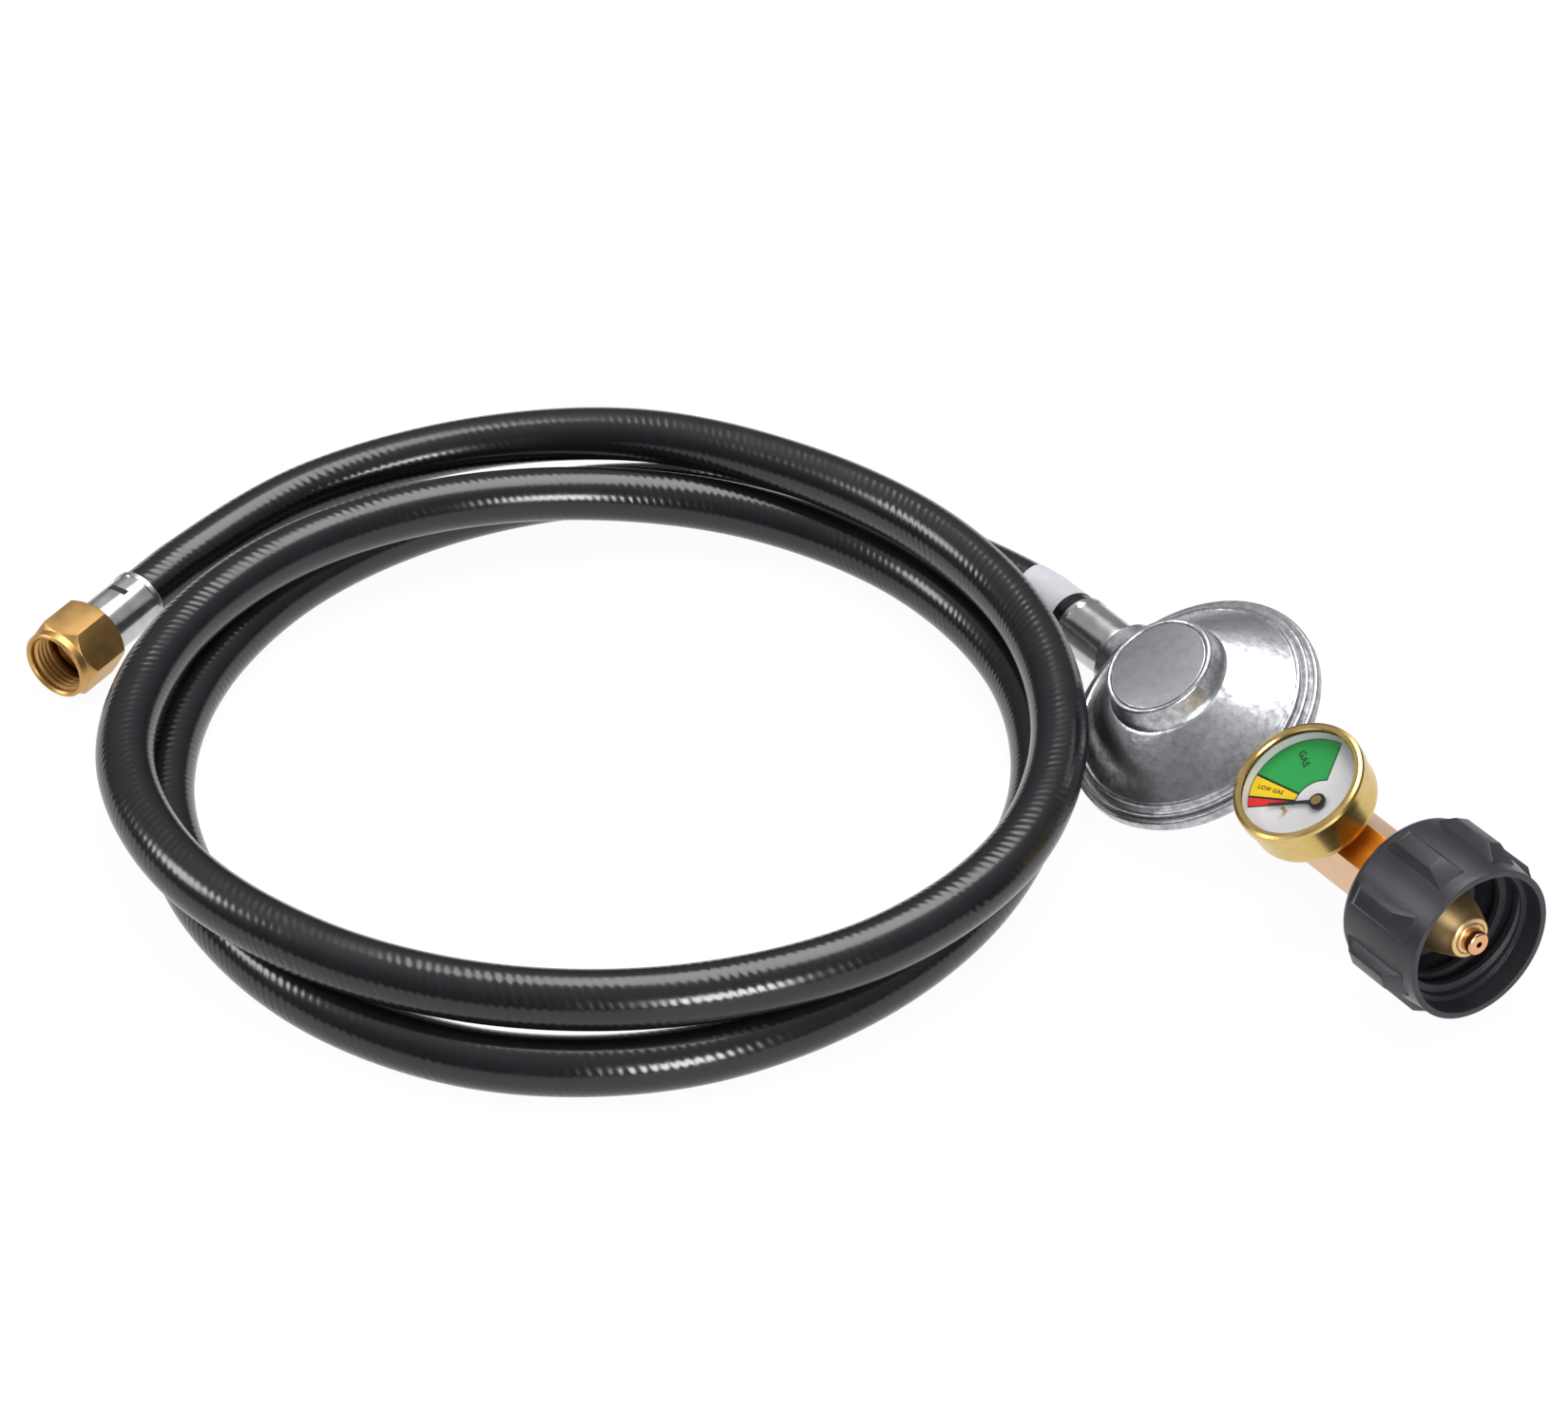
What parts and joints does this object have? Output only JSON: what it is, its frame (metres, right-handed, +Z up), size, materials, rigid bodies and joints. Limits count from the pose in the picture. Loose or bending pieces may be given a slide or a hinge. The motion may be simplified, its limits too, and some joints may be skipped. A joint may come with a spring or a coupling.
{
  "type": "propane regulator hose",
  "caption": "Low-pressure gas regulator with tank gauge, ribbed hand nut and a looped rubber hose that ends in a swivel flare nut.",
  "frame": {"origin": "on the floor under the middle of the regulator assembly, its hose left out", "axes": "+Z up; +X along the level direction of the inlet axis, from the diaphragm towards the tank nut"},
  "size_m": [0.3263, 0.2754, 0.0491],
  "materials": {
    "zinc": "die-cast zinc, satin",
    "zinc_cap": "smooth zinc cap",
    "steel": "plain steel",
    "spring_steel": "spring wire",
    "tinned_steel": "bright tinned steel",
    "brass": "turned brass",
    "satin_brass": "satin brass",
    "hose_rubber": "satin black rubber",
    "diaphragm_rubber": "fabric-backed rubber",
    "nut_plastic": "fine-grained moulded nylon",
    "poppet_plastic": "moulded acetal",
    "dial_paint": "printed white dial",
    "pointer_paint": "black enamel",
    "glass": "clear window",
    "bushing_alloy": "low-melting alloy"
  },
  "bodies": {
    "regulator": {"lower_casting": "zinc", "bonnet": "zinc", "tower_cap": "zinc_cap", "adjusting_screw": "steel", "main_spring": "spring_steel", "diaphragm": "diaphragm_rubber", "lever_pin": "steel", "orifice": "brass", "vent_screen": "steel", "outlet_tail": "brass", "near_ferrule": "tinned_steel", "gauge_block": "brass", "gauge_case": "brass", "gauge_bezel": "brass", "gauge_glass": "glass", "gauge_dial": "dial_paint", "dial_stop": "brass", "arbor_bearing": "brass", "bourdon_spiral": "brass", "inlet_nipple": "brass", "nipple_washer": "diaphragm_rubber", "probe_tip": "brass", "poppet_spring": "spring_steel", "poppet_stop": "brass", "hose": "hose_rubber", "far_ferrule": "tinned_steel", "flare_tail": "brass"},
    "centre_plate": {"diaphragm_plate": "steel", "diaphragm_stem": "steel"},
    "valve_lever": {"lever": "steel"},
    "valve_slider": {"valve_holder": "brass", "valve_seat": "diaphragm_rubber"},
    "gauge_pointer": {"pointer": "pointer_paint", "pointer_arbor": "brass"},
    "excess_flow_poppet": {"flow_poppet": "poppet_plastic"},
    "tank_nut": {"hand_nut": "nut_plastic", "heat_bushing": "bushing_alloy"},
    "appliance_nut": {"flare_nut": "satin_brass"}
  },
  "joints": [
    {"name": "tank_nut_turn", "type": "hinge", "parent": "regulator", "child": "tank_nut", "pos_m": [0.05587, 0.00579, 0.02138], "axis": [0.9954, 0, 0.0957], "continuous": true},
    {"name": "appliance_nut_turn", "type": "hinge", "parent": "regulator", "child": "appliance_nut", "pos_m": [-0.204, -0.228, 0.00953], "axis": [0.454, -0.891, 0], "continuous": true},
    {"name": "pointer_sweep", "type": "hinge", "parent": "regulator", "child": "gauge_pointer", "pos_m": [0.03318, -0.00521, 0.03695], "axis": [-0.0822, -0.512, 0.855], "range_deg": [-100, 0], "stiffness_Nm_per_rad": 0.0001, "springref_deg": 5.73, "deforming": ["bourdon_spiral"]},
    {"name": "diaphragm_lift", "type": "slide", "parent": "regulator", "child": "centre_plate", "axis": [-0.0822, -0.512, 0.855], "range_m": [0, 0.0024], "stiffness_N_per_m": 200, "springref_m": -0.004, "deforming": ["main_spring", "diaphragm"]},
    {"name": "lever_swing", "type": "hinge", "parent": "regulator", "child": "valve_lever", "pos_m": [-0.00618, 0.00804, 0.01162], "axis": [-0.049, 0.859, 0.5097], "range_deg": [0, 9.2]},
    {"name": "valve_slide", "type": "slide", "parent": "regulator", "child": "valve_slider", "axis": [0.9954, 0, 0.0957], "range_m": [0, 0.000706]},
    {"name": "poppet_slide", "type": "slide", "parent": "regulator", "child": "excess_flow_poppet", "axis": [-0.9954, 0, -0.0957], "range_m": [0, 0.0025], "stiffness_N_per_m": 20, "springref_m": -0.001, "deforming": ["poppet_spring"]}
  ],
  "couplings": [
    {"joint": "lever_swing", "follows": "diaphragm_lift", "rad_per_m": 66.667},
    {"joint": "valve_slide", "follows": "diaphragm_lift", "ratio": 0.29333}
  ]
}
